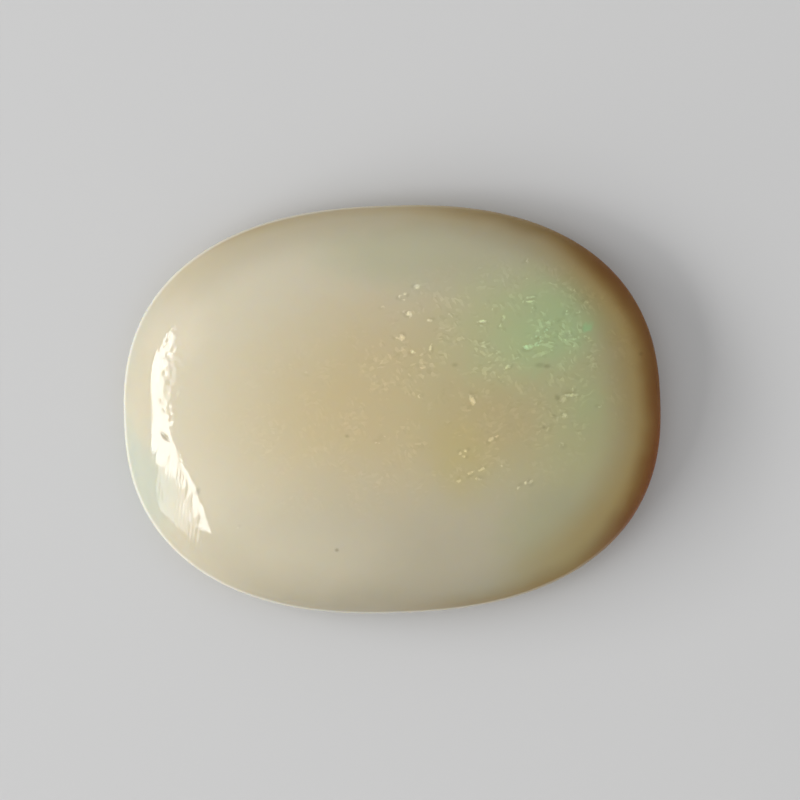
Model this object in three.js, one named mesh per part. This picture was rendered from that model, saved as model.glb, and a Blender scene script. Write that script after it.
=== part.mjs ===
// An oval opal cabochon: one piece of milky opal, cut with a low polished dome, a narrow rounded
// girdle and a bevel that runs in to a flat back. The origin is the middle of the back, +X runs
// along the stone's length and +Z up through the top of the dome. Units are millimetres.
import * as THREE from "three";

// Driving dimensions
const LENGTH = 16.0; // across the girdle, along X
const WIDTH = 12.15; // across the girdle, along Y
const HEIGHT = 3.4; // from the back to the top of the dome
const OUTLINE_POWER = 2.39; // superellipse exponent of the girdle: 2 is an ellipse, more is squarer
const BEVEL_HEIGHT = 0.65; // from the back up to the girdle
const BEVEL_INSET = 0.5; // from the girdle in to the edge of the back, on the long axis
const GIRDLE_HEIGHT = 0.3; // of the rounded band between the bevel and the dome
const GIRDLE_BULGE = 0.03; // how far the middle of that band stands out past its edges
const DOME_CUT = 0.985; // share of its full reach at which the girdle cuts the dome's ellipse off

// Facets
const SEGMENTS = 96; // around the outline
const DOME_RINGS = 20;
const GIRDLE_STEPS = 4;

const HALF_LENGTH = LENGTH / 2;
const HALF_WIDTH = WIDTH / 2;
const DOME_FOOT = BEVEL_HEIGHT + GIRDLE_HEIGHT;

// Polished milky opal
const opal = new THREE.MeshStandardMaterial({
  name: "opal",
  color: new THREE.Color(0xcdbf9c),
  roughness: 0.08,
  metalness: 0,
});

// A distance on the long axis as a share of the girdle's reach there
function share(distance) {
  return distance / HALF_LENGTH;
}

// Height of the dome's profile, from 1 in the middle to 0 at its foot
function domeRise(reach) {
  const arc = (r) => Math.sqrt(1 - (DOME_CUT * r) ** 2);
  return (arc(reach) - arc(1)) / (1 - arc(1));
}

// The stone's section as points of reach and height, where a reach of 1 is the widest line. It
// runs from the middle of the back, out along the bevel and the girdle, and up over the dome.
function section() {
  const points = [new THREE.Vector2(0, 0), new THREE.Vector2(1 - share(BEVEL_INSET), 0)];
  for (let i = 0; i <= GIRDLE_STEPS; i++) {
    const along = i / GIRDLE_STEPS;
    const sunk = GIRDLE_BULGE * (1 - Math.sin(Math.PI * along));
    points.push(new THREE.Vector2(1 - share(sunk), BEVEL_HEIGHT + GIRDLE_HEIGHT * along));
  }
  const foot = 1 - share(GIRDLE_BULGE);
  for (let i = 1; i <= DOME_RINGS; i++) {
    const reach = Math.cos((Math.PI / 2) * (i / DOME_RINGS));
    const rise = (HEIGHT - DOME_FOOT) * domeRise(reach);
    points.push(new THREE.Vector2(foot * reach, DOME_FOOT + rise));
  }
  points[points.length - 1].x = 0; // the last ring is the top itself
  return points;
}

// Distance from the middle to a superellipse at a bearing
function outlineRadius(bearing, power) {
  const along = Math.abs(Math.cos(bearing) / HALF_LENGTH) ** power;
  const across = Math.abs(Math.sin(bearing) / HALF_WIDTH) ** power;
  return (along + across) ** (-1 / power);
}

// The section is turned about the upright axis, and each ring is then drawn out to its own
// superellipse: the girdle's squarish oval at the widest line, easing to an ellipse at the top.
function cabochon() {
  const stone = new THREE.LatheGeometry(section(), SEGMENTS);
  stone.rotateX(Math.PI / 2);
  const place = stone.attributes.position;
  for (let i = 0; i < place.count; i++) {
    const bearing = Math.atan2(place.getY(i), place.getX(i));
    const reach = Math.hypot(place.getX(i), place.getY(i));
    const power = 2 + (OUTLINE_POWER - 2) * reach ** 2;
    const radius = reach * outlineRadius(bearing, power);
    place.setXY(i, radius * Math.cos(bearing), radius * Math.sin(bearing));
  }
  stone.computeVertexNormals();
  const mesh = new THREE.Mesh(stone, opal);
  mesh.name = "opal_stone";
  return mesh;
}

const specimen = new THREE.Group();
specimen.add(cabochon());

export default specimen;
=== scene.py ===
# The finish of an oval opal cabochon: one piece of milky opal with a polished dome. Its shape repeats
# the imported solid's section at a finer step, with chips and the polish's unevenness in the mesh. The
# colour zones and polish marks are shader nodes. The colour flecks are values kept on the mesh's
# points, which a crazed pattern in the shader breaks into crumbs. Lengths are in metres, apart from
# the lists of ovals and bands, which are in millimetres.
import math
import random

import bpy
import numpy as np
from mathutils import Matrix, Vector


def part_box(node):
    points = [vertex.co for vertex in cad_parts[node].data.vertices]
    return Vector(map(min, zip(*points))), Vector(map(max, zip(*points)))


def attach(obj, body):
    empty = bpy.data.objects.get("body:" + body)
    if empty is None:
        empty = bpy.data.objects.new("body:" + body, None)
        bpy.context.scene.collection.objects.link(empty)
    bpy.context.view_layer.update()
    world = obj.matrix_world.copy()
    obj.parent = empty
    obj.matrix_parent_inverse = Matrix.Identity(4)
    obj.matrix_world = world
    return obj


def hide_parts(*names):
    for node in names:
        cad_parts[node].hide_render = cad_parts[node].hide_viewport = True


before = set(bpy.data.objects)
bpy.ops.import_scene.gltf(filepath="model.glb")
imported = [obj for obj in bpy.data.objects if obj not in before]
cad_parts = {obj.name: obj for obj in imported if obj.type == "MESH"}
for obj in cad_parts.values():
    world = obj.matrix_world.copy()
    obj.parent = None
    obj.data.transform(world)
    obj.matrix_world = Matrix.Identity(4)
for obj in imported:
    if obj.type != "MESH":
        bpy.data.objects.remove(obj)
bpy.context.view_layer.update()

MM = 0.001
MICROMETRE = 1e-6
WHITE = (1.0, 1.0, 1.0, 1.0)
BLACK = (0.0, 0.0, 0.0, 1.0)

# The stone's section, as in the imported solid
NODE = "opal_stone"
OUTLINE_POWER = 2.39  # superellipse exponent of the girdle
BEVEL_HEIGHT = 0.65 * MM
BEVEL_INSET = 0.5 * MM
GIRDLE_HEIGHT = 0.3 * MM
GIRDLE_BULGE = 0.03 * MM
DOME_CUT = 0.985  # share of its full reach at which the girdle cuts the dome's ellipse off
BACK_EDGE = 0.08 * MM  # how far the worn edge of the back reaches to each side
BACK_SUPPORT = 0.3 * MM  # from that edge in to the ring that keeps the back flat

# Mesh steps
DOME_RINGS = 166
SECTORS = 6  # a ring of the dome has this many points more than the one inside it
GIRDLE_STEPS = 6
BEVEL_STEPS = 3
EDGE_STEPS = 3

# Unevenness of the hand polish
POLISH_SEED = 7
POLISH_WAVES = 28
POLISH_LENGTHS = (0.35 * MM, 3.5 * MM)  # shortest and longest wave
POLISH_SLOPE = 0.0016  # of each wave

# Chips in the polish, in millimetres: x, y, length, width, turn in degrees, depth
CHIPS = [
    (-6.71, -0.57, 0.42, 0.14, -50, 0.016),
    (-6.31, -1.12, 0.12, 0.08, 40, 0.004),
    (-6.27, -1.30, 0.12, 0.08, 40, 0.004),
    (-6.56, 2.29, 0.18, 0.10, 70, 0.006),
    (-6.66, 2.10, 0.14, 0.08, 70, 0.006),
    (-6.57, 1.85, 0.20, 0.10, 60, 0.006),
    (-6.69, 1.29, 0.22, 0.10, 75, 0.006),
    (-6.79, 0.51, 0.18, 0.09, 90, 0.006),
    (-6.72, 0.24, 0.18, 0.10, 110, 0.006),
]
CHIP_BUMP = 0.8  # share of a chip's depth that the bump adds, as a cone with a sharp edge
PIT_SEED = 3
PITS = 60
PIT_SIZES = (0.10, 0.20)  # smallest and largest, in millimetres
PIT_DEPTH = 0.02  # of its size

# Polish marks too fine for the mesh, as ovals in millimetres: x, y, length, width, turn in degrees
STREAKED = (-6.46, -2.40, 4.4, 1.12, -70)  # the left shoulder, which the lap left streaked
RAGGED = (-6.42, 1.25, 1.0, 3.6, 0)  # above it, dull and pitted
MARK_FULL = 0.5  # share of the way in from such an oval's edge at which its marks are deepest
STREAK_HEIGHT = 12.0  # in micrometres
STREAKS_PER_MM = 13.0
STREAK_STRETCH = 12.0  # length over width
STREAK_HEADING = 79  # in degrees from +X
RAGGED_HEIGHT = 16.0  # in micrometres
RAGS_PER_MM = 5.0
BACK_STREAK_HEIGHT = 1.0  # in micrometres
BACK_LEVELS = (0.3 * MM, 0.05 * MM)  # where the back's streaks start, and where they are deepest

# Gloss of the polish, and of the satin bevel and back
GLOSS = 0.5  # specular level of the polish
POLISHED = (0.015, 0.045)  # roughness of the dome where it is smoothest and roughest
ROUGH_WAVES_PER_MM = 1.5
ROUGH_DETAIL = 4.0  # finer waves in those
SATIN = 0.25  # roughness that the satin faces add
SATIN_LEVELS = (0.7 * MM, 0.5 * MM)  # where the satin starts, and where it is full

# Light in the opal
OPAL_IOR = 1.45
SUBSURFACE_SCALE = 0.8 * MM
SUBSURFACE_RADIUS = (1.0, 0.75, 0.45)  # times that scale, for red, green and blue

# Colours of the opal, as linear base colours; the rim's painted shade and the girdle's painted
# highlight are among them
MILK = (0.625, 0.575, 0.440, 1.0)
CREAM = (0.720, 0.660, 0.520, 1.0)
TAN = (0.588, 0.495, 0.297, 1.0)
SAGE = (0.535, 0.500, 0.285, 1.0)
YELLOW = (0.560, 0.470, 0.260, 1.0)
STRAW = (0.575, 0.485, 0.215, 1.0)
LAVENDER = (0.468, 0.425, 0.307, 1.0)
OLIVE = (0.420, 0.410, 0.225, 1.0)
MIST = (0.503, 0.490, 0.327, 1.0)
PALE_GREEN = (0.540, 0.530, 0.290, 1.0)
SEA_GREEN = (0.475, 0.605, 0.320, 1.0)
TEAL = (0.420, 0.710, 0.370, 1.0)
ICE = (0.520, 0.560, 0.475, 1.0)
# The next eight colours serve only the rim bands: painted shade towards the edge, and at the right end
# partly the opal's own honey tint
PAINTED_RIM_SHADE = (0.350, 0.310, 0.220, 1.0)
SLATE = (0.360, 0.400, 0.340, 1.0)
TOP_SHADE_BROWN = (0.400, 0.300, 0.130, 1.0)
MOSS = (0.380, 0.365, 0.235, 1.0)
AMBER = (0.470, 0.345, 0.115, 1.0)
UMBER = (0.240, 0.135, 0.020, 1.0)
HONEY = (0.205, 0.060, 0.004, 1.0)
PEAT = (0.140, 0.075, 0.004, 1.0)
# a painted highlight, for the lit edge of the girdle
GIRDLE_HIGHLIGHT = (0.810, 0.805, 0.740, 1.0)

# Soft oval zones laid over the milky ground in turn, in millimetres:
# x, y, length, width, turn in degrees, strength, colour
ZONES = [
    (0.4, 0.2, 15.0, 9.4, 3, 1.0, TAN),
    (4.8, 0.4, 11.5, 14.0, 0, 0.9, SAGE),
    (2.6, -0.5, 5.6, 4.0, 8, 0.8, YELLOW),
    (2.0, -1.7, 2.6, 3.6, 0, 0.5, STRAW),
    (0.2, -6.0, 18.5, 11.0, 2, 0.9, LAVENDER),
    (4.9, -4.0, 5.6, 4.6, 35, 0.6, OLIVE),
    (1.0, 4.6, 9.0, 3.6, -4, 0.7, MIST),
    (5.7, -0.4, 3.8, 6.5, 0, 0.8, PALE_GREEN),
    (5.75, -0.1, 1.5, 2.2, 0, 0.25, SEA_GREEN),
    (4.5, -3.2, 3.6, 2.6, 20, 0.35, MIST),
    (-2.6, -4.4, 8.0, 3.6, 6, 0.4, MILK),
    (4.5, 2.5, 7.6, 5.2, 12, 0.4, SEA_GREEN),
    (4.9, 2.3, 4.8, 3.4, 15, 0.65, SEA_GREEN),
    (5.88, 2.20, 0.5, 0.34, -40, 0.75, TEAL),
    (-7.5, -1.7, 2.4, 5.2, 15, 0.8, ICE),
    (-6.5, 2.8, 3.0, 3.6, 0, 0.6, CREAM),
]
ZONE_FULL = 0.8  # share of the way in from a zone's edge at which it is at its strongest
ZONE_WANDERS = [(0.35, 0.8 * MM), (1.4, 0.7 * MM)]  # waves to the millimetre, and how far they move

# Painted shade: darker towards the edge all round and browner where the dome turns from the light; at
# the right end the honey brown is partly the opal's own tint.
# Bands round the rim, laid over the zones in turn. Each grows with reach, and towards a heading:
# reach where it starts and where it is full, strength, heading in degrees from +X, millimetres that
# way where it starts and where it is full, colour
RIM_SHADE_BANDS = [
    (0.76, 1.04, 0.72, 12, -11.0, -1.5, PAINTED_RIM_SHADE),
    (0.92, 1.02, 0.3, 180, 5.0, 7.5, SLATE),
    (0.80, 1.00, 0.4, 100, 4.0, 5.4, TAN),
    (0.80, 1.00, 0.7, 45, 3.6, 6.2, TOP_SHADE_BROWN),
    (0.93, 1.00, 0.5, 90, 4.6, 5.6, TOP_SHADE_BROWN),
    (0.74, 0.97, 1.0, -8, 3.0, 6.2, AMBER),
    (0.80, 0.98, 0.5, -65, 5.2, 6.4, MOSS),
    (0.90, 1.03, 0.8, -15, 0.5, 5.0, UMBER),
    (0.89, 1.01, 1.0, 4, 4.6, 7.0, HONEY),
    (0.92, 1.00, 0.4, 46, 4.4, 6.6, PEAT),
]
RIM_DULLING = (0.88, 0.98, 0.35, 0, -3.0, 3.0)  # how far the gloss falls, as a band without colour
GIRDLE_HIGHLIGHT_BAND = (0.986, 0.996, 0.5, 200, -7.0, 2.0)  # a painted highlight along the girdle's edge on the lit side, in the same form
GIRDLE_HIGHLIGHT_LEVELS = (0.68 * MM, 0.85 * MM)  # where that edge starts, and where it is full
RIM_WAVES_PER_MM = 0.6
RIM_WANDER = 0.006  # of the reach

# Colour flecks in the opal, in millimetres: x, y, length, width, turn in degrees, strength
FLECKS = [
    (0.85, 3.56, 0.22, 0.15, 10, 0.85),
    (0.35, 3.29, 0.15, 0.12, 60, 0.75),
    (0.50, 3.36, 0.14, 0.12, 40, 0.75),
    (0.44, 3.19, 0.16, 0.10, 0, 0.60),
    (0.60, 2.77, 0.25, 0.20, -40, 0.95),
    (0.45, 2.85, 0.14, 0.10, 30, 0.40),
    (0.36, 2.08, 0.20, 0.20, 0, 1.00),
    (0.20, 2.09, 0.14, 0.09, 0, 0.50),
    (0.66, 1.66, 0.20, 0.12, -35, 0.85),
    (1.19, 1.76, 0.26, 0.11, 70, 0.65),
    (1.20, 2.56, 0.24, 0.10, -5, 0.75),
    (1.80, 2.70, 0.30, 0.09, -50, 0.40),
    (1.91, 2.60, 0.34, 0.09, -50, 0.45),
    (2.02, 2.52, 0.28, 0.09, -50, 0.40),
    (2.74, 2.48, 0.34, 0.09, 3, 0.85),
    (2.66, 2.35, 0.28, 0.09, 3, 0.45),
    (2.83, 3.02, 0.26, 0.10, 80, 0.30),
    (3.06, 2.80, 0.26, 0.10, 80, 0.35),
    (3.36, 2.55, 0.20, 0.10, 70, 0.80),
    (3.27, 2.35, 0.16, 0.10, 60, 0.65),
    (3.33, 2.16, 0.18, 0.10, -50, 0.55),
    (2.72, 1.72, 0.28, 0.14, 10, 0.50),
    (2.74, 1.88, 0.20, 0.12, 60, 0.40),
    (4.18, 3.14, 0.32, 0.09, 5, 0.75),
    (4.14, 3.01, 0.34, 0.09, 5, 0.75),
    (3.97, 3.00, 0.14, 0.12, 80, 0.50),
    (4.22, 2.74, 0.40, 0.10, 85, 0.40),
    (4.12, 4.21, 0.20, 0.12, 50, 0.55),
    (4.07, 3.68, 0.24, 0.12, -10, 0.35),
    (5.46, 3.32, 0.24, 0.18, 10, 0.50),
    (5.23, 2.65, 0.20, 0.12, 70, 0.60),
    (5.57, 2.66, 0.20, 0.12, 20, 0.50),
    (5.85, 2.96, 0.30, 0.12, -40, 0.35),
    (5.80, 1.91, 0.22, 0.12, -20, 0.50),
    (5.29, 1.87, 0.60, 0.12, 5, 0.40),
    (5.26, 1.65, 0.40, 0.12, 5, 0.40),
    (4.69, 1.54, 0.20, 0.10, 20, 0.35),
    (3.42, 1.12, 0.26, 0.11, 35, 0.85),
    (3.14, 0.80, 0.50, 0.09, -43, 0.50),
    (3.00, 0.98, 0.20, 0.10, 70, 0.45),
    (3.73, 1.37, 0.26, 0.10, 10, 0.35),
    (2.35, 0.20, 0.38, 0.16, -68, 1.00),
    (2.27, -0.08, 0.28, 0.10, 25, 0.45),
    (0.81, 0.36, 0.16, 0.14, 0, 0.50),
    (0.56, 0.98, 0.26, 0.10, -45, 0.40),
    (0.80, 1.18, 0.44, 0.12, 5, 0.30),
    (1.47, 0.51, 0.28, 0.10, 80, 0.30),
    (5.27, 0.24, 0.42, 0.11, 3, 0.80),
    (5.32, 0.36, 0.20, 0.10, 85, 0.65),
    (5.42, 0.22, 0.14, 0.12, 60, 0.75),
    (5.05, 0.10, 0.26, 0.16, 35, 0.55),
    (5.01, -0.37, 0.26, 0.20, 20, 0.65),
    (4.93, -1.23, 0.22, 0.17, 20, 0.60),
    (6.11, -0.14, 0.20, 0.10, 0, 0.60),
    (4.53, -0.75, 0.20, 0.10, 60, 0.55),
    (4.68, -0.68, 0.28, 0.09, 20, 0.45),
    (3.14, -1.77, 0.12, 0.10, 0, 0.45),
    (2.85, -0.98, 0.24, 0.14, 35, 0.75),
    (3.01, -0.89, 0.20, 0.12, 30, 0.65),
    (2.80, -0.82, 0.22, 0.10, 10, 0.40),
    (2.11, -1.29, 0.14, 0.11, 50, 0.90),
    (1.95, -1.36, 0.13, 0.10, 60, 0.75),
    (2.05, -1.45, 0.15, 0.10, 20, 0.80),
    (2.21, -1.95, 0.28, 0.10, 30, 0.70),
    (2.56, -1.84, 0.30, 0.10, 25, 0.60),
    (1.88, -2.16, 0.18, 0.12, 30, 0.55),
    (2.44, -2.12, 0.24, 0.12, -10, 0.60),
    (3.84, -2.28, 0.20, 0.10, 65, 0.80),
    (3.98, -2.27, 0.20, 0.11, 40, 0.75),
    (3.64, -2.42, 0.20, 0.12, 50, 0.75),
    (-0.16, 3.00, 0.16, 0.12, 0, 0.40),
    (-0.29, -0.82, 0.20, 0.14, 20, 0.40),
    (-0.47, -0.96, 0.36, 0.10, 5, 0.40),
    (-2.47, 1.18, 0.28, 0.10, -20, 0.30),
    (-4.66, -3.32, 0.12, 0.10, 60, 0.40),
]

# The same for the flecks that flash green
GREEN_FLECKS = [
    (4.06, 1.68, 0.36, 0.17, 5, 1.00),
    (4.30, 1.74, 0.20, 0.14, 20, 0.80),
    (4.41, 1.90, 0.22, 0.12, 60, 0.60),
    (4.30, 1.98, 0.18, 0.10, 20, 0.50),
    (4.62, 2.16, 0.34, 0.12, 45, 0.45),
    (4.92, 2.43, 0.24, 0.14, 30, 0.45),
]

# Dark specks in the opal, and painted shade in one chip of the polish, in the same form
SPECKS_AND_CHIP_SHADE = [
    # The first is painted shade in the chip on the left shoulder; the second darkens the notch beside
    # the highlight
    (-6.71, -0.57, 0.42, 0.13, -50, 0.5),
    (-5.82, -2.22, 0.26, 0.16, 60, 0.5),
    (-1.77, -4.07, 0.12, 0.10, 0, 0.8),
    (-1.34, -0.73, 0.12, 0.10, 0, 0.5),
    (4.37, 1.14, 0.30, 0.14, 0, 0.35),
    (4.58, 1.10, 0.22, 0.12, 0, 0.5),
    (4.86, 0.16, 0.22, 0.14, -50, 0.5),
    (4.73, -0.39, 0.14, 0.12, 0, 0.45),
    (4.43, -0.68, 0.14, 0.12, 0, 0.45),
    (1.88, 1.23, 0.18, 0.12, 0, 0.35),
    (7.42, 1.37, 0.14, 0.12, 0, 0.4),
]
SPOT_SPREAD = 1.3  # flecks reach this far past the ovals listed, since their edges crumble
SPOT_RISE = 1.6  # how steeply a fleck or speck grows from its edge, where 1 is full only in the middle
EDGE_SEED = 11
EDGE_ASIDE = 0.08  # from a fleck to the dark edge that shows beside it, in millimetres
EDGE_STRENGTH = 0.3  # of the fleck's

# Times the ground's colour
FLASH = (1.75, 1.82, 2.00, 1.0)
GREEN_FLASH = (1.50, 1.74, 1.88, 1.0)
SHADE = (0.55, 0.52, 0.48, 1.0)
PALE_GRAIN = (1.19, 1.20, 1.24, 1.0)
DULL_GRAIN = (0.93, 0.925, 0.905, 1.0)

# How flecks crumble: a crumb is lit by the fleck's strength there, less its own chance from 0 to 1
CRUMBS_PER_MM = 15.0
CRUMB_GAIN = 1.6
CRUMB_DIMMEST = 0.4  # lit crumbs differ from this share of the fleck's strength up to all of it
CRUMB_EDGE = 0.4  # how much light takes a crumb from dark to lit
CRUMB_BENDS_PER_MM = 5.0
CRUMB_BEND = 0.08 * MM

# Faint grains between the flecks, in patches
LIVELY = [  # where they lie, as ovals with a strength
    (3.0, 0.8, 10.5, 8.4, 8, 0.4),
    (3.2, 2.2, 8.6, 4.6, 5, 0.35),
    (5.2, 1.2, 3.6, 6.4, 0, 0.25),
    (-1.0, -0.4, 10.0, 7.0, 5, 0.2),
]
LIVELY_FULL = 0.5  # share of the way in from such an oval's edge at which it is at its strongest
GRAINS_PER_MM = 13.0
GRAIN_STRETCH = 1.7  # length over width
GRAIN_HEADINGS = (10, -58)  # in degrees from +X
GRAIN_BENDS_PER_MM = 2.0
GRAIN_BEND = 0.3 * MM
PATCHES_PER_MM = 1.2
PATCH_EDGE = (0.47, 0.62)  # of the noise, where a patch starts and where it is full
PALE_CHANCES = (0.65, 1.0)  # chance from which a grain is pale, and at which it is palest
DULL_CHANCES = (0.25, 0.0)  # the same for the dull ones

# Noise texture
NOISE_MIDDLE = 0.5
NOISE_SPAN = (0.3, 0.7)  # nearly all of its values

# Photograph
IMAGE_SIDE = 800  # pixels
STONE_PIXEL = (392.2, 409.2)  # the middle of the stone's outline
PIXEL = 0.0298 * MM  # at the girdle
STONE_TURN = math.radians(2.07)  # the stone's +X, up from the picture's right

# Camera
LENS = 180.0  # in millimetres
SENSOR = 36.0  # its width, in millimetres
CLIP_START = 5 * MM

# Floor and light
FLOOR_SIDE = 3.0
FLOOR_GAP = 0.01 * MM  # under the back, so that the two faces don't share a plane
FLOOR_GREY = (0.62, 0.62, 0.62, 1.0)
FLOOR_ROUGHNESS = 0.9
FLOOR_GLOSS = 0.1
WINDOW_DISTANCE = 0.3  # from the stone, level with it
WINDOW_BEARING = math.radians(-15)  # from the stone's -X, towards +Y
WINDOW_PANES = [  # radiance, and corners to the side and up, as shares of the distance
    (
        4.2,
        [
            (1.07, 0.66),
            (0.59, 0.33),
            (0.02, 0.33),
            (-0.08, 0.17),
            (-0.23, 0.01),
            (-0.57, 0.24),
            (-0.50, 0.48),
            (-0.57, 0.55),
            (-0.20, 0.74),
            (0.27, 0.60),
            (0.49, 0.74),
            (0.67, 0.78),
            (0.83, 0.76),
        ],
    ),
    (
        11.5,
        [
            (1.08, 0.64),
            (0.87, 0.43),
            (0.74, 0.39),
            (0.59, 0.33),
            (0.50, 0.325),
            (0.37, 0.34),
            (0.32, 0.37),
            (0.28, 0.375),
            (0.24, 0.325),
            (0.15, 0.29),
            (0.08, 0.31),
            (0.04, 0.37),
            (-0.03, 0.46),
            (-0.11, 0.59),
            (-0.19, 0.67),
            (-0.29, 0.70),
            (-0.35, 0.64),
            (-0.47, 0.51),
            (-0.58, 0.56),
            (-0.39, 0.73),
            (-0.20, 0.785),
            (-0.06, 0.78),
            (0.15, 0.685),
            (0.24, 0.635),
            (0.27, 0.58),
            (0.33, 0.48),
            (0.38, 0.55),
            (0.60, 0.575),
            (0.84, 0.63),
            (0.92, 0.61),
        ],
    ),
]
PANE_GAP = 1 * MM  # from each pane to the one in front of it
ROOM_LIGHT = 0.58  # strength of the light from all round

low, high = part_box(NODE)
half_length = (high.x - low.x) / 2
half_width = (high.y - low.y) / 2
height = high.z - low.z
girdle_level = BEVEL_HEIGHT + GIRDLE_HEIGHT / 2
dome_foot = BEVEL_HEIGHT + GIRDLE_HEIGHT


# Shape

def share(distance):
    """A distance on the long axis as a share of the girdle's reach there."""
    return distance / half_length


def dome_rise(reach):
    """Height of the dome's profile, from 1 in the middle to 0 at its foot."""
    foot_arc = math.sqrt(1 - DOME_CUT**2)
    return (math.sqrt(1 - (DOME_CUT * reach) ** 2) - foot_arc) / (1 - foot_arc)


def dome_section():
    """Reach and height of each ring of the dome, from the first one outside the top to the foot."""
    foot = 1 - share(GIRDLE_BULGE)
    steps = [i / DOME_RINGS for i in range(1, DOME_RINGS + 1)]
    return [(foot * step, dome_foot + (height - dome_foot) * dome_rise(step)) for step in steps]


def wall_section():
    """Reach and height of each ring below the dome: down girdle and bevel, and in on the back."""
    points = []
    for i in range(1, GIRDLE_STEPS + 1):
        along = 1 - i / GIRDLE_STEPS
        sunk = GIRDLE_BULGE * (1 - math.sin(math.pi * along))
        points.append((1 - share(sunk), BEVEL_HEIGHT + GIRDLE_HEIGHT * along))
    top = np.array([1 - share(GIRDLE_BULGE), BEVEL_HEIGHT])
    corner = np.array([1 - share(BEVEL_INSET), 0.0])
    bevel_length = math.hypot(BEVEL_INSET - GIRDLE_BULGE, BEVEL_HEIGHT)
    edge_top = corner + (top - corner) * BACK_EDGE / bevel_length
    edge_end = corner - [share(BACK_EDGE), 0.0]
    for i in range(1, BEVEL_STEPS):
        points.append(tuple(top + (edge_top - top) * i / BEVEL_STEPS))
    for i in range(EDGE_STEPS + 1):
        along = i / EDGE_STEPS
        curve = (1 - along) ** 2 * edge_top + 2 * along * (1 - along) * corner + along**2 * edge_end
        points.append(tuple(curve))
    points.append((edge_end[0] - share(BACK_SUPPORT), 0.0))
    return points


def ring_points(reach, level, count):
    """Points of one ring, drawn out to its own superellipse."""
    bearing = 2 * np.pi * np.arange(count) / count
    power = 2 + (OUTLINE_POWER - 2) * reach**2
    along = np.abs(np.cos(bearing) / half_length) ** power
    across = np.abs(np.sin(bearing) / half_width) ** power
    radius = reach * (along + across) ** (-1 / power)
    x, y = radius * np.cos(bearing), radius * np.sin(bearing)
    return np.stack([x, y, np.full(count, level)], axis=1)


def polish(x, y):
    """How far the hand polish stands off the true dome."""
    draw = random.Random(POLISH_SEED)
    off = np.zeros_like(x)
    shortest, longest = POLISH_LENGTHS
    for _ in range(POLISH_WAVES):
        length = shortest * (longest / shortest) ** draw.random()
        heading = draw.uniform(0, math.pi)
        phase = draw.uniform(0, 2 * math.pi)
        travel = (x * math.cos(heading) + y * math.sin(heading)) / length
        off += POLISH_SLOPE * length / (2 * math.pi) * np.sin(2 * np.pi * travel + phase)
    return off


def oval_radius(x, y, oval_x, oval_y, length, width, turn):
    """How far points are from an oval's middle, as a share of the way to its edge."""
    heading = math.radians(turn)
    east = x - oval_x * MM
    north = y - oval_y * MM
    along = (east * math.cos(heading) + north * math.sin(heading)) / (length * MM / 2)
    across = (north * math.cos(heading) - east * math.sin(heading)) / (width * MM / 2)
    return np.hypot(along, across)


def scattered_pits():
    """Small pits all over the dome, in the form of CHIPS."""
    draw = random.Random(PIT_SEED)
    pits = []
    for _ in range(PITS):
        bearing = draw.uniform(0, 2 * math.pi)
        reach = math.sqrt(draw.random())
        size = draw.uniform(*PIT_SIZES)
        x = reach * half_length * math.cos(bearing) / MM
        y = reach * half_width * math.sin(bearing) / MM
        pits.append((x, y, size, size, 0, PIT_DEPTH * size))
    return pits


def dents(x, y):
    """How deep the chips and pits are below the true dome."""
    deep = np.zeros_like(x)
    for *oval, depth in CHIPS + scattered_pits():
        deep += depth * MM * np.clip(1 - oval_radius(x, y, *oval) ** 2, 0, None) ** 2
    return deep


def edges(flecks):
    """The dark edge to one side of each fleck, in the form of FLECKS."""
    draw = random.Random(EDGE_SEED)
    moved = []
    for x, y, *shape, strength in flecks:
        heading = draw.uniform(0, 2 * math.pi)
        aside = (x + EDGE_ASIDE * math.cos(heading), y + EDGE_ASIDE * math.sin(heading))
        moved.append((*aside, *shape, EDGE_STRENGTH * strength))
    return moved


def spots(x, y, flecks):
    """The strongest of many soft spots at each point."""
    strongest = np.zeros_like(x)
    for *oval, strength in flecks:
        cone = np.clip(SPOT_RISE * (1 - oval_radius(x, y, *oval) / SPOT_SPREAD), 0, 1)
        strongest = np.maximum(strongest, strength * cone)
    return strongest


def dome_faces():
    """Triangles between the dome's rings. Vertex 0 is the top, and ring k has SECTORS * k points."""
    faces = []
    inner_start, inner_count = 0, 1
    for k in range(DOME_RINGS):
        outer_start = inner_start + inner_count
        outer_count = SECTORS * (k + 1)
        for sector in range(SECTORS):
            for j in range(k + 1):
                inner = inner_start + (sector * k + j) % inner_count
                outer = outer_start + sector * (k + 1) + j
                beyond = outer_start + (sector * (k + 1) + j + 1) % outer_count
                faces.append((inner, outer, beyond))
                if j < k:
                    faces.append((inner, beyond, inner_start + (sector * k + j + 1) % inner_count))
        inner_start, inner_count = outer_start, outer_count
    return faces


def wall_faces(start, count, rings):
    """Quads between rings of count points, and the fan that closes the back."""
    faces = []
    for ring in range(rings):
        upper = start + ring * count
        for j in range(count):
            after = (j + 1) % count
            faces.append((upper + j, upper + count + j, upper + count + after, upper + after))
    last = start + rings * count
    for j in range(count):
        faces.append((last + j, last + count, last + (j + 1) % count))
    return faces


def keep(mesh, name, values):
    """Keeps a value for each point on the mesh, for the material."""
    kept = mesh.attributes.new(name, "FLOAT", "POINT")
    kept.data.foreach_set("value", values)


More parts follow.
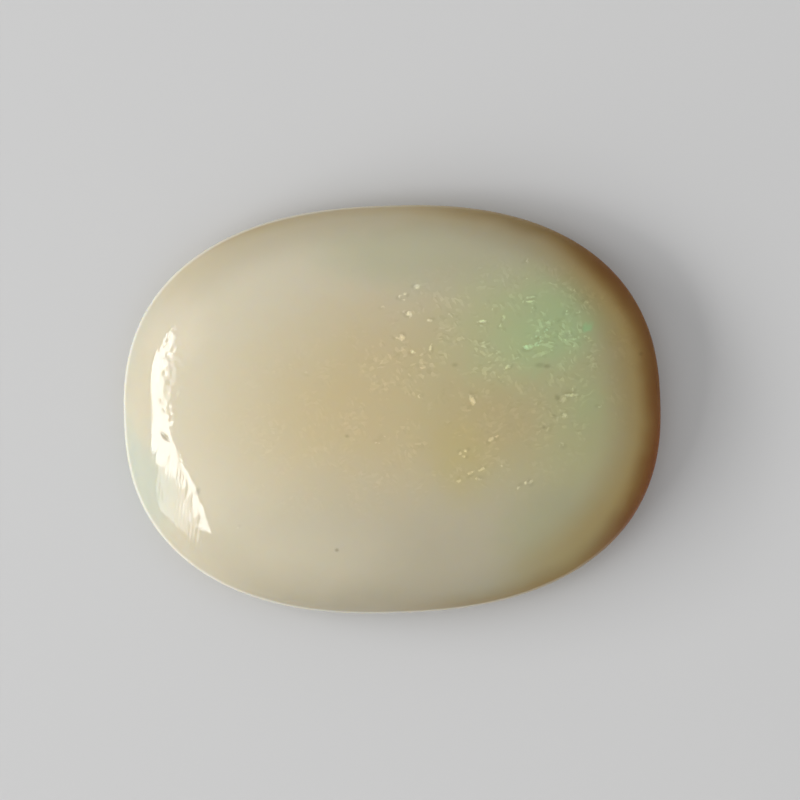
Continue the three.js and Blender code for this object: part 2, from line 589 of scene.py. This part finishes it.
def make_stone():
    """The stone as one closed mesh, with each point's reach and flecks kept for the material."""
    rings = [(0.0, height), *dome_section()]
    counts = [1] + [SECTORS * k for k in range(1, DOME_RINGS + 1)]
    last = counts[-1]
    walls = wall_section()
    reaches = [reach for reach, _ in rings + walls] + [0.0]
    parts = [ring_points(reach, level, count) for (reach, level), count in zip(rings, counts)]
    dome = np.concatenate(parts)
    inside = slice(0, len(dome) - last)
    x, y = dome[inside, 0], dome[inside, 1]
    dome[inside, 2] += polish(x, y) - dents(x, y)
    sides = [ring_points(reach, level, last) for reach, level in walls]
    points = np.concatenate([dome, *sides, np.zeros((1, 3))])
    faces = dome_faces() + wall_faces(len(dome) - last, last, len(walls))
    mesh = bpy.data.meshes.new("polished_opal")
    mesh.from_pydata(points.tolist(), [], faces)
    mesh.validate()
    mesh.shade_smooth()
    keep(mesh, "reach", np.repeat(reaches, counts + [last] * len(walls) + [1]))
    shaded = edges(FLECKS + GREEN_FLECKS) + SPECKS_AND_CHIP_SHADE
    for name, flecks in (("flash", FLECKS), ("green_flash", GREEN_FLECKS), ("shade", shaded)):
        values = np.zeros(len(points))
        values[inside] = spots(x, y, flecks)
        keep(mesh, name, values)
    stone = bpy.data.objects.new("polished_opal", mesh)
    bpy.context.scene.collection.objects.link(stone)
    return stone


# Opal

class Shader:
    """One material's nodes, added by short calls that link as they go."""

    # A Mix node's sockets for colours, by number, because their names repeat
    MIX_AMOUNT = 0
    MIX_FIRST = 6
    MIX_SECOND = 7
    MIX_RESULT = 2

    def __init__(self, name):
        self.material = bpy.data.materials.new(name)
        self.material.use_nodes = True
        self.tree = self.material.node_tree
        self.surface = self.tree.nodes["Principled BSDF"]

    def put(self, socket, value):
        """Links value to a socket if it is a socket, and sets it there if it isn't."""
        if isinstance(value, bpy.types.NodeSocket):
            self.tree.links.new(value, socket)
        else:
            socket.default_value = value

    def add(self, kind, inputs, **settings):
        """A new node with its settings, and its inputs by name or number."""
        made = self.tree.nodes.new("ShaderNode" + kind)
        for name, value in settings.items():
            setattr(made, name, value)
        for key, value in inputs.items():
            self.put(made.inputs[key], value)
        return made

    def place(self):
        """Position in the stone's own frame."""
        return self.add("TexCoord", {}).outputs["Object"]

    def kept(self, name):
        """A value kept on the mesh's points."""
        return self.add("Attribute", {}, attribute_name=name).outputs["Fac"]

    def sums(self, operation, *values):
        """Math of one kind on two or more values, in turn."""
        total = values[0]
        for value in values[1:]:
            total = self.add("Math", {0: total, 1: value}, operation=operation).outputs[0]
        return total

    def ramp(self, value, start, end, low=0.0, high=1.0):
        """From low where value is start to high where it is end, with soft ends."""
        bounds = {"From Min": start, "From Max": end, "To Min": low, "To Max": high}
        made = self.add("MapRange", {"Value": value, **bounds}, interpolation_type="SMOOTHSTEP")
        return made.outputs["Result"]

    def mix(self, amount, first, second, blend="MIX"):
        """first where amount is 0, and second, or its blend with first, where it is 1."""
        inputs = {self.MIX_AMOUNT: amount, self.MIX_FIRST: first, self.MIX_SECOND: second}
        made = self.add("Mix", inputs, data_type="RGBA", blend_type=blend)
        return made.outputs[self.MIX_RESULT]

    def scaled(self, amount, colour, gain):
        """colour where amount is 0, and colour times gain where it is 1."""
        return self.mix(amount, colour, gain, "MULTIPLY")

    def towards(self, place, heading):
        """How far place is along a heading in degrees from +X."""
        turn = math.radians(heading)
        way = (math.cos(turn), math.sin(turn), 0.0)
        return self.add("VectorMath", {0: place, 1: way}, operation="DOT_PRODUCT").outputs["Value"]

    def noise(self, place, scale, detail=2.0):
        """Noise with scale waves to the millimetre."""
        inputs = {"Vector": place, "Scale": scale / MM, "Detail": detail}
        return self.add("TexNoise", inputs)

    def drawn_out(self, place, stretch, heading):
        """place for a texture that is stretched along a heading in degrees from +X."""
        turned = {"Rotation": (0.0, 0.0, math.radians(heading)), "Scale": (stretch, 1.0, stretch)}
        return self.add("Mapping", {"Vector": place, **turned}, vector_type="TEXTURE").outputs[0]

    def crumbs(self, place, scale):
        """Two chances from 0 to 1 for each crumb of a pattern with scale crumbs to the millimetre."""
        inputs = {"Vector": place, "Scale": scale / MM}
        crazed = self.add("TexVoronoi", inputs, voronoi_dimensions="2D")
        return self.add("SeparateColor", {0: crazed.outputs["Color"]}).outputs[:2]

    def warped(self, place, scale, amount):
        """place moved about by noise, by up to about half the amount each way."""
        noise = self.noise(place, scale).outputs["Color"]
        centred = self.add("VectorMath", {0: noise, 1: (NOISE_MIDDLE,) * 3}, operation="SUBTRACT")
        inputs = {0: centred.outputs[0], 1: (amount,) * 3, 2: place}
        return self.add("VectorMath", inputs, operation="MULTIPLY_ADD").outputs[0]

    def oval(self, place, x, y, length, width, turn):
        """1 in the middle of an oval column through the stone, falling evenly to 0 at its edge."""
        mapped = self.add(
            "Mapping",
            {
                "Vector": place,
                "Location": (x * MM, y * MM, 0.0),
                "Rotation": (0.0, 0.0, math.radians(turn)),
                "Scale": (length / 2 * MM, width / 2 * MM, 1.0),
            },
            vector_type="TEXTURE",
        )
        gradient = self.add("TexGradient", {"Vector": mapped.outputs[0]}, gradient_type="SPHERICAL")
        return gradient.outputs["Fac"]

    def band(self, place, reach, start, end, strength, heading, none, full):
        """A band that grows with reach, and towards a heading."""
        outwards = self.ramp(reach, start, end, 0.0, strength)
        sideways = self.ramp(self.towards(place, heading), none * MM, full * MM)
        return self.sums("MULTIPLY", outwards, sideways)


def zone_colour(shader, place):
    """The milky ground with its soft colour zones."""
    for waves, wander in ZONE_WANDERS:
        place = shader.warped(place, waves, wander)
    colour = MILK
    for *oval, strength, tint in ZONES:
        zone = shader.ramp(shader.oval(place, *oval), 0.0, ZONE_FULL, 0.0, strength)
        colour = shader.mix(zone, colour, tint)
    return colour


def rim_shade_colour(shader, place, colour):
    """Painted shade: darker towards the edge, brown along the top and honey brown round the right end,
    where the honey brown is partly the opal's own tint.
    """
    waves = shader.noise(place, RIM_WAVES_PER_MM).outputs["Fac"]
    wander = shader.ramp(waves, *NOISE_SPAN, -RIM_WANDER, RIM_WANDER)
    reach = shader.sums("ADD", shader.kept("reach"), wander)
    for *band, tint in RIM_SHADE_BANDS:
        colour = shader.mix(shader.band(place, reach, *band), colour, tint)
    return colour


def girdle_highlight_colour(shader, place, level, colour):
    """A painted highlight along the top of the girdle, strongest on the lit left side."""
    edge = shader.band(place, shader.kept("reach"), *GIRDLE_HIGHLIGHT_BAND)
    painted_highlight = shader.sums("MULTIPLY", edge, shader.ramp(level, *GIRDLE_HIGHLIGHT_LEVELS))
    return shader.mix(painted_highlight, colour, GIRDLE_HIGHLIGHT)


def grain_colour(shader, place, colour):
    """Faint pale and dull grains in patches over the ground."""
    ovals = []
    for *oval, strength in LIVELY:
        ovals.append(shader.ramp(shader.oval(place, *oval), 0.0, LIVELY_FULL, 0.0, strength))
    lively = shader.sums("ADD", *ovals)
    patches = shader.add("SeparateColor", {0: shader.noise(place, PATCHES_PER_MM).outputs["Color"]})
    bent = shader.warped(place, GRAIN_BENDS_PER_MM, GRAIN_BEND)
    for heading, patch in zip(GRAIN_HEADINGS, patches.outputs):
        amount = shader.sums("MULTIPLY", lively, shader.ramp(patch, *PATCH_EDGE))
        chance, _ = shader.crumbs(shader.drawn_out(bent, GRAIN_STRETCH, heading), GRAINS_PER_MM)
        pale = shader.sums("MULTIPLY", amount, shader.ramp(chance, *PALE_CHANCES))
        dull = shader.sums("MULTIPLY", amount, shader.ramp(chance, *DULL_CHANCES))
        colour = shader.scaled(dull, shader.scaled(pale, colour, PALE_GRAIN), DULL_GRAIN)
    return colour


def fleck_colour(shader, place, colour):
    """Dark specks, painted shade in a chip, dark edges, and the pale and green colour flecks, over the
    ground.
    """
    colour = shader.scaled(shader.kept("shade"), colour, SHADE)
    bent = shader.warped(place, CRUMB_BENDS_PER_MM, CRUMB_BEND)
    chance, lustre = shader.crumbs(bent, CRUMBS_PER_MM)
    lustre = shader.ramp(lustre, 0.0, 1.0, CRUMB_DIMMEST, 1.0)
    for name, gain in (("flash", FLASH), ("green_flash", GREEN_FLASH)):
        flash = shader.kept(name)
        light = shader.sums("SUBTRACT", shader.sums("MULTIPLY", flash, CRUMB_GAIN), chance)
        lit = shader.sums("MULTIPLY", flash, lustre, shader.ramp(light, 0.0, CRUMB_EDGE))
        colour = shader.scaled(lit, colour, gain)
    return colour


def polish_marks(shader, place, level):
    """Height of the marks that the laps left, in micrometres."""
    stretched = shader.drawn_out(place, STREAK_STRETCH, STREAK_HEADING)
    streaks = shader.noise(stretched, STREAKS_PER_MM, detail=0.0).outputs["Fac"]
    streaked = shader.ramp(shader.oval(place, *STREAKED), 0.0, MARK_FULL, 0.0, STREAK_HEIGHT)
    on_back = shader.ramp(level, *BACK_LEVELS, 0.0, BACK_STREAK_HEIGHT)
    streaks = shader.sums("MULTIPLY", streaks, shader.sums("ADD", streaked, on_back))
    ragged = shader.ramp(shader.oval(place, *RAGGED), 0.0, MARK_FULL, 0.0, RAGGED_HEIGHT)
    rags = shader.noise(place, RAGS_PER_MM, detail=0.0).outputs["Fac"]
    marks = shader.sums("ADD", streaks, shader.sums("MULTIPLY", rags, ragged))
    for *oval, depth in CHIPS:
        cone = shader.sums("MULTIPLY", shader.oval(place, *oval), CHIP_BUMP * depth * MM / MICROMETRE)
        marks = shader.sums("SUBTRACT", marks, cone)
    return marks


def opal_material():
    """Milky opal, polished on the dome and satin below it."""
    shader = Shader("milky_opal")
    place = shader.place()
    level = shader.add("SeparateXYZ", {0: place}).outputs["Z"]
    colour = zone_colour(shader, place)
    colour = rim_shade_colour(shader, place, colour)
    colour = girdle_highlight_colour(shader, place, level, colour)
    colour = grain_colour(shader, place, colour)
    colour = fleck_colour(shader, place, colour)
    surface = shader.surface
    shader.put(surface.inputs["Base Color"], colour)
    waves = shader.noise(place, ROUGH_WAVES_PER_MM, ROUGH_DETAIL).outputs["Fac"]
    polished = shader.ramp(waves, *NOISE_SPAN, *POLISHED)
    satin = shader.ramp(level, *SATIN_LEVELS, 0.0, SATIN)
    shader.put(surface.inputs["Roughness"], shader.sums("ADD", polished, satin))
    bump = shader.add("Bump", {"Height": polish_marks(shader, place, level), "Distance": MICROMETRE})
    shader.put(surface.inputs["Normal"], bump.outputs["Normal"])
    dulling = shader.band(place, shader.kept("reach"), *RIM_DULLING)
    shader.put(surface.inputs["Specular IOR Level"], shader.sums("SUBTRACT", GLOSS, dulling))
    surface.inputs["IOR"].default_value = OPAL_IOR
    surface.inputs["Subsurface Weight"].default_value = 1.0
    surface.inputs["Subsurface Radius"].default_value = SUBSURFACE_RADIUS
    surface.inputs["Subsurface Scale"].default_value = SUBSURFACE_SCALE
    return shader.material


# Stage

def make_floor():
    """A plain pale sheet under the stone."""
    half = FLOOR_SIDE / 2
    mesh = bpy.data.meshes.new("floor")
    corners = [(-half, -half, 0), (half, -half, 0), (half, half, 0), (-half, half, 0)]
    mesh.from_pydata(corners, [], [(0, 1, 2, 3)])
    floor = bpy.data.objects.new("floor", mesh)
    floor.location.z = low.z - FLOOR_GAP
    bpy.context.scene.collection.objects.link(floor)
    paper = Shader("pale_floor")
    paper.surface.inputs["Base Color"].default_value = FLOOR_GREY
    paper.surface.inputs["Roughness"].default_value = FLOOR_ROUGHNESS
    paper.surface.inputs["Specular IOR Level"].default_value = FLOOR_GLOSS
    mesh.materials.append(paper.material)


def make_window():
    """An upright softbox of two panes on the left, which the dome mirrors as its highlight."""
    back = np.array([-math.cos(WINDOW_BEARING), math.sin(WINDOW_BEARING)]) * WINDOW_DISTANCE
    across = np.array([math.sin(WINDOW_BEARING), math.cos(WINDOW_BEARING)]) * WINDOW_DISTANCE
    for i, (radiance, corners) in enumerate(WINDOW_PANES):
        nearer = back * (1 - i * PANE_GAP / WINDOW_DISTANCE)
        places = [(*(nearer + across * aside), WINDOW_DISTANCE * up) for aside, up in corners]
        mesh = bpy.data.meshes.new("window_pane")
        mesh.from_pydata(places, [], [tuple(range(len(places)))])
        pane = bpy.data.objects.new("window_pane", mesh)
        bpy.context.scene.collection.objects.link(pane)
        glow = Shader("window_light")
        glow.surface.inputs["Base Color"].default_value = BLACK
        glow.surface.inputs["Emission Color"].default_value = WHITE
        glow.surface.inputs["Emission Strength"].default_value = radiance
        mesh.materials.append(glow.material)
        pane.visible_camera = False


def make_room():
    """Even light from all round."""
    room = bpy.data.worlds.new("room")
    room.use_nodes = True
    sky = room.node_tree.nodes["Background"]
    sky.inputs["Color"].default_value = WHITE
    sky.inputs["Strength"].default_value = ROOM_LIGHT
    bpy.context.scene.world = room


def make_camera():
    """Looks straight down, with the stone where the photograph has it."""
    right = (IMAGE_SIDE / 2 - STONE_PIXEL[0]) * PIXEL
    up = (STONE_PIXEL[1] - IMAGE_SIDE / 2) * PIXEL
    lens = bpy.data.cameras.new("camera")
    lens.lens = LENS
    lens.sensor_width = SENSOR
    lens.clip_start = CLIP_START
    camera = bpy.data.objects.new("camera", lens)
    camera.location.x = right * math.cos(STONE_TURN) + up * math.sin(STONE_TURN)
    camera.location.y = up * math.cos(STONE_TURN) - right * math.sin(STONE_TURN)
    camera.location.z = girdle_level + IMAGE_SIDE * PIXEL * LENS / SENSOR
    camera.rotation_euler.z = -STONE_TURN
    bpy.context.scene.collection.objects.link(camera)
    bpy.context.scene.camera = camera


stone = make_stone()
stone.data.materials.append(opal_material())
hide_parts(NODE)
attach(stone, "root")
make_floor()
make_window()
make_room()
make_camera()
bpy.context.scene.view_settings.view_transform = "Standard"
